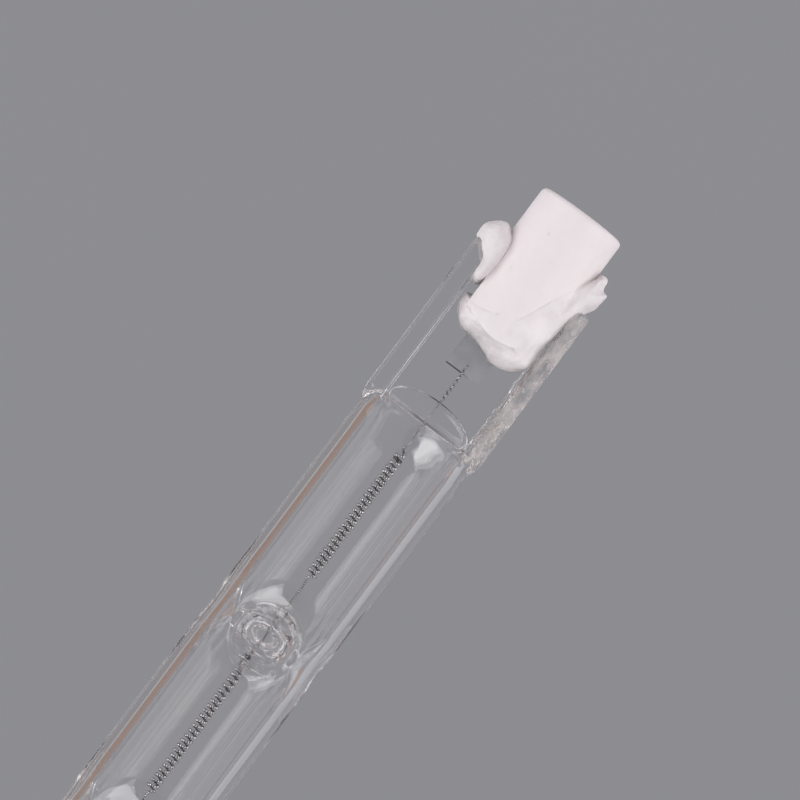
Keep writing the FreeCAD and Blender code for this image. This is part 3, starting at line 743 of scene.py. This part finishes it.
def soft_outline(points):
    """A closed curve through the points, counterclockwise from above."""
    curve = []
    n = len(points)
    for i in range(n):
        a, b, c, d = (Vector(points[(i + k) % n]) for k in (-1, 0, 1, 2))
        for j in range(OUTLINE_STEPS):
            t = j / OUTLINE_STEPS
            curve.append(0.5 * (2 * b + (c - a) * t + (2 * a - 5 * b + 4 * c - d) * t * t
                                + (3 * b - a - 3 * c + d) * t ** 3))
    area = sum(a.x * b.y - b.x * a.y for a, b in zip(curve, curve[1:] + curve[:1]))
    return curve if area > 0 else curve[::-1]


def slab(curve, low, high):
    """A flat body with the curve as its outline, between two heights."""
    mesh = Mesh()
    below = [mesh.add(p.x, p.y, low) for p in curve]
    above = [mesh.add(p.x, p.y, high) for p in curve]
    mesh.strip(below, above, closed=True)
    mesh.faces += [tuple(reversed(below)), tuple(above)]
    return mesh.object("slab", smooth=False)


def edge_distance(curve, places):
    """Distance in plan from each place to the curve."""
    start = np.array([(p.x, p.y) for p in curve])
    run = np.roll(start, -1, axis=0) - start
    best = np.full(len(places), 1e9)
    for a, r in zip(start, run):
        rel = places - a
        t = np.clip((rel @ r) / max(r @ r, 1e-12), 0, 1)
        best = np.minimum(best, np.linalg.norm(rel - t[:, None] * r, axis=1))
    return best


def remesh(piece, voxel):
    change = piece.modifiers.new("even", "REMESH")
    change.mode, change.voxel_size = "VOXEL", voxel * MM


def cement_part(points, half_height, rounding, middle):
    """A lump of cement with the given outline, thinned and rounded towards its edge."""
    curve = soft_outline(points)
    piece = slab(curve, -1.0, 1.0)
    remesh(piece, PART_VOXEL)
    settle(piece)
    flat = np.empty(len(piece.data.vertices) * 3)
    piece.data.vertices.foreach_get("co", flat)
    places = flat.reshape(-1, 3) / MM
    near = np.clip(edge_distance(curve, places[:, :2]) / rounding, 0, 1)
    thick = EDGE_THICKNESS + (1 - EDGE_THICKNESS) * np.sqrt(np.clip(1 - (1 - near) ** 2, 0, 1))
    tall = half_height(places[:, 0], places[:, 1])
    places[:, 2] = middle + np.clip(places[:, 2], -1, 1) * tall * thick
    piece.data.vertices.foreach_set("co", (places * MM).ravel())
    return piece


def crease_at(y):
    """X of the crease between the rolled rim and the cement smoothed on to the base."""
    return CREASE_X + CREASE_BOW * (y - CREASE_Y) ** 2


def skirt_height(x, y):
    """The skirt climbs from the seal up to just over the base's outside."""
    sideways = np.clip(np.abs(y - CAP_SIDEWAYS) / (CAP_RADIUS + BESIDE_BASE), 0, 1)
    over_base = np.maximum((CAP_RADIUS + OVER_BASE) * np.sqrt(1 - sideways ** 2), SKIRT_LEAST)
    before, length = CREASE_RISE
    past = np.clip((x - crease_at(y) + before) / length, 0, 1)
    return np.minimum(over_base, RIM_HEIGHT + (CAP_RADIUS - RIM_HEIGHT) * past * past * (3 - 2 * past))


def petal_height(x, y):
    """The lump beside the base is equally tall all over."""
    return np.full_like(x, PETAL_HALF_HEIGHT)


def cement_relief(place, seed):
    """How far the cement's surface stands out at a place: folds and roughness, less over the base."""
    at = place + seed
    folds = noise.noise(Vector((at.x * 0.7 + at.y * 0.5, at.y * 1.1 - at.x * 0.25, at.z * 0.5)))
    rough = noise.noise(at * 2.3) * 0.5 + noise.noise(at * 5.0) * 0.25
    over = ease(0.0, 0.8, place.x - crease_at(place.y)) * (1 - ease(2.8, 3.6, abs(place.y)))
    return (FOLD_HEIGHT * folds + ROUGH_HEIGHT * rough) * (1 - SMOOTHED * over) - SUNK


def crease_groove(place):
    """Share of the groove's depth at a place."""
    slope = 2 * CREASE_BOW * (place.y - CREASE_Y)
    apart = (place.x - crease_at(place.y)) / math.hypot(1, slope)
    within = ease(-3.2, -1.5, place.y) * ease(1.6, 2.2, abs(place.z))
    return math.exp(-(apart / GROOVE_HALF_WIDTH) ** 2) * within


def make_cement(end):
    parts = [cement_part(SKIRT, skirt_height, SKIRT_ROUNDING, 0.0),
             cement_part(PETAL, petal_height, PETAL_ROUNDING, PETAL_MIDDLE)]
    with bpy.context.temp_override(active_object=parts[0], selected_editable_objects=parts, object=parts[0]):
        bpy.ops.object.join()
    piece = parts[0]
    piece.name = "cement_lump_" + end
    remesh(piece, JOINED_VOXEL)
    soften = piece.modifiers.new("soft", "SMOOTH")
    soften.iterations, soften.factor = 6, 0.6
    settle(piece)
    seed = Vector((CEMENT_SEEDS[end], 0, 0))
    for vertex, normal in zip(piece.data.vertices, [v.normal.copy() for v in piece.data.vertices]):
        place = vertex.co / MM
        place += normal * cement_relief(place, seed)
        place -= normal * (GROOVE_DEPTH * crease_groove(place))
        inside = [min(max(c, low + BOX_MARGIN), high - BOX_MARGIN)
                  for c, low, high in zip(place, CEMENT_LOW, CEMENT_HIGH)]
        vertex.co = Vector(inside) * MM
    piece.data.shade_smooth()
    return turned_round(piece, end)


# Materials
FROST_PAST_NECK = (-0.3, 0.5)   # distances past the neck between which the rail's frost sets in
FROST_ACROSS = (-3.85, -4.25)   # and Y between which it does
FOIL_EDGE = (0.13, 0.06)        # distances from the foil's inner end between which it darkens


def material(name):
    """A new material, its nodes, and its output."""
    made = bpy.data.materials.new(name)
    made.use_nodes = True
    tree = made.node_tree
    tree.nodes.clear()
    return made, tree, tree.nodes.new("ShaderNodeOutputMaterial")


def node(tree, kind, **inputs):
    made = tree.nodes.new("ShaderNode" + kind)
    for name, value in inputs.items():
        made.inputs[name.replace("_", " ")].default_value = value
    return made


def axes_of(tree, kind):
    """X, Y and Z of the surface's own coordinates, for the kind Object, or of its normal, for Normal."""
    split = node(tree, "SeparateXYZ")
    tree.links.new(node(tree, "TexCoord").outputs[kind], split.inputs["Vector"])
    return split.outputs


def noise_node(tree, scale, detail=3.0, roughness=0.5, stretch=None):
    source = node(tree, "TexCoord").outputs["Object"]
    made = node(tree, "TexNoise", Scale=scale, Detail=detail, Roughness=roughness)
    if stretch:
        mapping = node(tree, "Mapping", Scale=stretch)
        tree.links.new(source, mapping.inputs["Vector"])
        source = mapping.outputs["Vector"]
    tree.links.new(source, made.inputs["Vector"])
    return made


def ramp(tree, factor, stops):
    made = node(tree, "ValToRGB")
    bands = made.color_ramp.elements
    while len(bands) < len(stops):
        bands.new(0.5)
    for band, (place, colour) in zip(bands, stops):
        band.position = place
        band.color = (*colour, 1.0)
    tree.links.new(factor, made.inputs["Fac"])
    return made.outputs["Color"]


def bump(tree, height, strength, distance):
    made = node(tree, "Bump", Strength=strength, Distance=distance * MM)
    tree.links.new(height, made.inputs["Height"])
    return made


def between(tree, value, low, high):
    """0 where a value is at low, 1 at high."""
    change = node(tree, "MapRange", From_Min=low, From_Max=high)
    tree.links.new(value, change.inputs["Value"])
    return change.outputs["Result"]


def combine(tree, operation, first, second=None):
    sums = node(tree, "Math")
    sums.operation = operation
    tree.links.new(first, sums.inputs[0])
    if second is not None:
        tree.links.new(second, sums.inputs[1])
    return sums.outputs["Value"]


def mixed(tree, share, first, second):
    """Two surfaces mixed by a share."""
    mix = node(tree, "MixShader")
    tree.links.new(share, mix.inputs["Fac"])
    tree.links.new(first, mix.inputs[1])
    tree.links.new(second, mix.inputs[2])
    return mix.outputs["Shader"]


def solid_material(name, stops, scale, metallic=0.0, roughness=0.6, relief=((4.0, 0.3, 0.1),)):
    """Mottled colour at one scale, and layers of relief as (waves a millimetre, strength, height)."""
    made, tree, output = material(name)
    surface = node(tree, "BsdfPrincipled", Metallic=metallic, Roughness=roughness)
    tree.links.new(ramp(tree, noise_node(tree, scale).outputs["Fac"], stops), surface.inputs["Base Color"])
    normal = None
    for waves, strength, height in relief:
        layer = bump(tree, noise_node(tree, waves / MM, detail=4.0).outputs["Fac"], strength, height)
        if normal:
            tree.links.new(normal, layer.inputs["Normal"])
        normal = layer.outputs["Normal"]
    tree.links.new(normal, surface.inputs["Normal"])
    tree.links.new(surface.outputs["BSDF"], output.inputs["Surface"])
    return made


def rail_frost(tree):
    """Patches of roughened glass on the rail of the -Y side."""
    place = axes_of(tree, "Object")
    start, full = [(NECK + past) * MM for past in FROST_PAST_NECK]
    past_neck = between(tree, combine(tree, "ABSOLUTE", place["X"]), start, full)
    inner, outer = [y * MM for y in FROST_ACROSS]
    on_rail = between(tree, place["Y"], inner, outer)
    patches = noise_node(tree, 1300.0, detail=4.0, stretch=(0.5, 1.0, 1.0))
    amount = ramp(tree, patches.outputs["Fac"], [(0.36, (0.0, 0.0, 0.0)), (0.66, (0.5, 0.5, 0.5))])
    return combine(tree, "MULTIPLY", combine(tree, "MULTIPLY", past_neck, on_rail), amount)


def glass_material():
    """Clear quartz with a faint ripple and a frosted rail, which lets light through to what lies below."""
    made, tree, output = material("quartz_glass")
    glass = node(tree, "BsdfGlass", Roughness=0.0, IOR=1.458)
    tint = noise_node(tree, 300.0).outputs["Fac"]
    colour = ramp(tree, tint, [(0.3, (0.985, 0.985, 0.99)), (0.7, (0.995, 0.99, 0.985))])
    tree.links.new(colour, glass.inputs["Color"])
    ripple = bump(tree, noise_node(tree, 900.0, detail=2.0).outputs["Fac"], 0.02, 0.05)
    tree.links.new(ripple.outputs["Normal"], glass.inputs["Normal"])
    rough = node(tree, "BsdfDiffuse", Color=(0.66, 0.585, 0.565, 1.0))
    frosted = mixed(tree, rail_frost(tree), glass.outputs["BSDF"], rough.outputs["BSDF"])
    clear = node(tree, "BsdfTransparent", Color=(0.93, 0.93, 0.935, 1.0))
    path = node(tree, "LightPath")
    shown = mixed(tree, path.outputs["Is Shadow Ray"], frosted, clear.outputs["BSDF"])
    tree.links.new(shown, output.inputs["Surface"])
    return made


def tungsten_material():
    """Wire with a painted highlight on top of the coil and painted shade on its sides and below."""
    made, tree, output = material("tungsten_wire")
    surface = node(tree, "BsdfPrincipled", Metallic=1.0, Roughness=0.30)
    # Painted light: the colour is bright where the wire faces up on the coil's upper half, and dark
    # elsewhere
    upward = between(tree, axes_of(tree, "Normal")["Z"], 0.35, 0.75)
    high = between(tree, axes_of(tree, "Object")["Z"], -0.10 * MM, 0.10 * MM)
    patches = noise_node(tree, 2500.0).outputs["Fac"]
    # Random patches in the strength of the painted highlight
    highlight_patches = ramp(tree, patches, [(0.3, (0.7, 0.7, 0.7)), (0.6, (1.0, 1.0, 1.0))])
    painted_light = combine(tree, "MULTIPLY", combine(tree, "MULTIPLY", upward, high), highlight_patches)
    # Dark end is painted shade, bright end is painted highlight
    colour = ramp(tree, painted_light, [(0.0, (0.06, 0.045, 0.05)), (1.0, (0.95, 0.90, 0.91))])
    tree.links.new(colour, surface.inputs["Base Color"])
    tree.links.new(surface.outputs["BSDF"], output.inputs["Surface"])
    return made


def foil_material():
    """Thin molybdenum sheet with a dark line along its inner end, which fades out towards one side."""
    made = solid_material("molybdenum", [(0.3, (0.44, 0.44, 0.46)), (0.7, (0.52, 0.52, 0.54))], 700.0,
                          metallic=1.0, roughness=0.38, relief=((3.0, 0.2, 0.02),))
    tree = made.node_tree
    base = next(n for n in tree.nodes if n.type == "BSDF_PRINCIPLED").inputs["Base Color"]
    place = axes_of(tree, "Object")
    light, dark = [(FOIL_START + distance) * MM for distance in FOIL_EDGE]
    edge = between(tree, combine(tree, "ABSOLUTE", place["X"]), light, dark)
    # X times Y is the same on both ends, because one is the other turned half a turn
    turned = combine(tree, "MULTIPLY", place["X"], place["Y"])
    reach = between(tree, turned, -0.7 * FOIL_START * MM * MM, 0.2 * FOIL_START * MM * MM)
    darker = node(tree, "MixRGB", Color2=(0.06, 0.05, 0.05, 1.0))
    tree.links.new(combine(tree, "MULTIPLY", edge, reach), darker.inputs["Fac"])
    tree.links.new(base.links[0].from_socket, darker.inputs["Color1"])
    tree.links.new(darker.outputs["Color"], base)
    return made


def floor_material():
    """A grey table lit a little from within, so that shadows on it stay faint."""
    made, tree, output = material("floor_grey")
    mottle = noise_node(tree, 6.0).outputs["Fac"]
    tone = ramp(tree, mottle, [(0.2, (0.93, 0.93, 1.0)), (0.8, (0.96, 0.96, 1.02))])
    surface = node(tree, "BsdfDiffuse")
    shade = node(tree, "MixRGB", Fac=1.0, Color2=(0.085, 0.085, 0.085, 1.0))
    shade.blend_type = "MULTIPLY"
    tree.links.new(tone, shade.inputs["Color1"])
    tree.links.new(shade.outputs["Color"], surface.inputs["Color"])
    glow = node(tree, "Emission", Strength=0.19)
    tree.links.new(tone, glow.inputs["Color"])
    both = node(tree, "AddShader")
    tree.links.new(surface.outputs["BSDF"], both.inputs[0])
    tree.links.new(glow.outputs["Emission"], both.inputs[1])
    tree.links.new(both.outputs["Shader"], output.inputs["Surface"])
    made.cycles.emission_sampling = "NONE"
    return made


def card_material(name, dark, light):
    return solid_material(name, [(0.3, dark), (0.7, light)], 30.0, roughness=0.8)


QUARTZ = glass_material()
TUNGSTEN = tungsten_material()
FOIL = foil_material()
LEAD = solid_material("lead_metal", [(0.3, (0.45, 0.44, 0.43)), (0.7, (0.60, 0.59, 0.57))], 500.0,
                      metallic=1.0, roughness=0.35, relief=((6.0, 0.2, 0.02),))
CONTACT = solid_material("contact_metal", [(0.35, (0.58, 0.57, 0.55)), (0.65, (0.72, 0.71, 0.69))], 400.0,
                         metallic=1.0, roughness=0.22, relief=((5.0, 0.15, 0.02),))
CERAMIC = solid_material("ceramic_white", [(0.24, (0.66, 0.60, 0.60)), (0.30, (0.755, 0.69, 0.695)),
                                           (0.70, (0.775, 0.71, 0.715))], 1100.0,
                         roughness=0.7, relief=((1.6, 0.12, 0.05), (5.0, 0.10, 0.04)))
CEMENT = solid_material("cement_white", [(0.30, (0.69, 0.635, 0.645)), (0.55, (0.77, 0.71, 0.718)),
                                         (0.75, (0.80, 0.74, 0.745))], 500.0,
                        roughness=0.75, relief=((1.1, 0.45, 0.25), (4.0, 0.3, 0.08)))
FLOOR = floor_material()
BROWN = card_material("brown_card", (0.26, 0.18, 0.145), (0.29, 0.205, 0.17))
WHITE = card_material("white_card", (0.38, 0.36, 0.36), (0.43, 0.41, 0.41))
PALE = card_material("pale_card", (0.38, 0.38, 0.40), (0.44, 0.44, 0.46))


# The lamp's pieces
def dress(piece, made):
    piece.data.materials.clear()
    piece.data.materials.append(made)


def place_piece(piece, made, replaced):
    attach(piece, "root")
    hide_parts(replaced)
    dress(piece, made)


place_piece(make_envelope(), QUARTZ, "glass_envelope")
place_piece(make_filament(), TUNGSTEN, "filament")
for end in "ab":
    place_piece(make_base(end), CERAMIC, "ceramic_base_" + end)
    place_piece(make_cement(end), CEMENT, "cement_" + end)
    for name, made in (("molybdenum_foil_", FOIL), ("outer_lead_", LEAD), ("contact_", CONTACT)):
        dress(bpy.data.objects[name + end], made)


# Floor, lights and camera: metres, except for the cards
FLOOR_LEVEL = -0.065            # well below the lamp, so that no shadow of it falls in view
FLOOR_HALF = 3.0
CARD_LIFT = 0.002
AIM = Vector((0.03, 0.0, 0.0))  # what the lights face, and the middle of their places
CAMERA_TURN = math.radians(-53.2)
CAMERA_PLACE = (0.0392, 0.00255, 0.3378)
CAMERA_LENS = 200.0

# Area lights: name, place as right and up in the picture and height, size, power
SOFTBOXES = [
    ("soft_right", (0.84, 0.24, 0.70), (0.60, 0.85), 3.0),
    ("soft_left", (-0.80, -0.38, 0.66), (0.60, 0.85), 3.25),
    ("fill_right", (0.62, -0.45, 0.80), (0.34, 0.40), 0.9),
    ("fill_left", (-0.75, 0.55, 0.70), (0.34, 0.40), 1.2),
    ("side_right", (1.05, -0.78, 0.16), (0.34, 1.6), 1.0),
    ("side_left", (-1.05, 0.78, 0.16), (0.34, 1.6), 1.0),
    ("low_left", (-1.0, 0.74, 0.24), (0.5, 1.4), 2.8),
    ("low_right", (1.0, -0.74, 0.24), (0.5, 1.4), 2.5),
]
MATT_ONLY = ("low_left", "low_right")   # these don't show in metal or through glass

# Cards on the floor: name, lowest and highest corner in millimetres, material
CARDS = [
    ("brown_card", (-80.0, 50.0), (60.0, 92.0), BROWN),
    ("pale_card_left", (-80.0, 40.0), (60.0, 49.0), WHITE),
    ("brown_card_right", (20.0, -210.0), (80.0, -110.0), BROWN),
    ("pale_card_right", (-80.0, -95.0), (60.0, -40.0), PALE),
]


def level_sheet(name, low, high, level, made):
    """A level rectangle of the stage."""
    data = bpy.data.meshes.new(name)
    data.from_pydata([(low[0], low[1], level), (high[0], low[1], level), (high[0], high[1], level),
                      (low[0], high[1], level)], [], [(0, 1, 2, 3)])
    piece = linked(name, data)
    dress(piece, made)
    return piece


def card(name, low, high, made):
    """A flat card just over the floor, out of the picture, which the tube's walls bend into view."""
    piece = level_sheet(name, [v * MM for v in low], [v * MM for v in high], FLOOR_LEVEL + CARD_LIFT, made)
    piece.visible_camera = piece.visible_shadow = piece.visible_diffuse = False


def studio(right, up, height):
    """A place from the lights' aim along the picture's own right and up."""
    cosine, sine = math.cos(CAMERA_TURN), math.sin(CAMERA_TURN)
    return Vector((AIM.x + right * cosine - up * sine, right * sine + up * cosine, height))


def softbox(name, at, size, power):
    """A rectangular area light facing the aim, its sides along the picture's."""
    data = bpy.data.lights.new(name, "AREA")
    data.shape = "RECTANGLE"
    data.size, data.size_y = size
    data.energy = power * math.pi * size[0] * size[1]
    light = linked(name, data)
    place = studio(*at)
    forward = (AIM - place).normalized()
    side = forward.cross(studio(0, 1, 0) - studio(0, 0, 0)).normalized()
    light.matrix_world = Matrix((side, side.cross(forward), -forward)).transposed().to_4x4()
    light.location = place
    light.visible_glossy = light.visible_transmission = name not in MATT_ONLY


level_sheet("floor", (-FLOOR_HALF, -FLOOR_HALF), (FLOOR_HALF, FLOOR_HALF), FLOOR_LEVEL, FLOOR)
for name, at, size, power in SOFTBOXES:
    softbox(name, at, size, power)
for name, low, high, made in CARDS:
    card(name, low, high, made)

world = bpy.data.worlds.new("studio")
bpy.context.scene.world = world
world.use_nodes = True
background = world.node_tree.nodes["Background"]
background.inputs["Color"].default_value = (0.95, 0.96, 1.0, 1.0)
background.inputs["Strength"].default_value = 0.45

lens = bpy.data.cameras.new("camera")
lens.lens = CAMERA_LENS
lens.sensor_width = 36.0
lens.clip_start, lens.clip_end = 0.01, 10.0
camera = linked("camera", lens)
camera.location = CAMERA_PLACE
camera.rotation_euler = (0.0, 0.0, CAMERA_TURN)
bpy.context.scene.camera = camera

bpy.context.scene.view_settings.view_transform = "Standard"
cycles = bpy.context.scene.cycles
cycles.max_bounces = 64
cycles.transmission_bounces = 64
cycles.transparent_max_bounces = 24
cycles.glossy_bounces = 64
cycles.caustics_refractive = False
cycles.caustics_reflective = False
